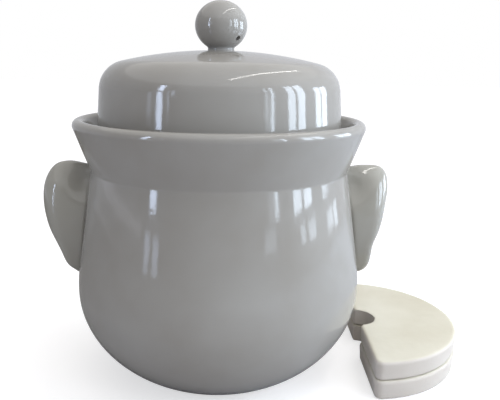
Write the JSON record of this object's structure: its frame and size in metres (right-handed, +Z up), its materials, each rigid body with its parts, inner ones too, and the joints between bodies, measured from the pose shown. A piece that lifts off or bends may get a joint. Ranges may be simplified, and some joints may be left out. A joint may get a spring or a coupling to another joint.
{
  "type": "water seal pickle jar",
  "caption": "Stoneware fermenting crock with a water channel round its mouth, a domed lid with ball knob, ear grips and half-disc weights.",
  "frame": {"origin": "centre of the crock's flat foot, on the jar's axis, at the level that the jar stands on", "axes": "+Z up along the jar's axis; +X to the side where the weights lie; -Y towards the viewer of the picture"},
  "size_m": [0.3622, 0.24, 0.3124],
  "materials": {
    "glaze_warm_grey": "glossy warm grey glaze",
    "cream_bisque": "unglazed matt cream clay"
  },
  "bodies": {
    "crock": {"crock_body": "glaze_warm_grey", "neck_ring": "glaze_warm_grey", "water_channel_collar": "glaze_warm_grey", "ear_left": "glaze_warm_grey", "ear_right": "glaze_warm_grey"},
    "lid": {"lid_dome": "glaze_warm_grey", "lid_knob": "glaze_warm_grey"},
    "weight_lower": {"weight_lower": "cream_bisque"},
    "weight_upper": {"weight_upper": "cream_bisque"}
  },
  "joints": [
    {"name": "lid_lift", "type": "slide", "parent": "crock", "child": "lid", "axis": [0, 0, 1], "range_m": [0, 0.15]},
    {"name": "weight_lower_lift", "type": "slide", "parent": "crock", "child": "weight_lower", "axis": [0.5, 0, 0.866], "range_m": [0, 0.2]},
    {"name": "weight_upper_lift", "type": "slide", "parent": "weight_lower", "child": "weight_upper", "axis": [0.5, 0, 0.866], "range_m": [0, 0.15]}
  ]
}
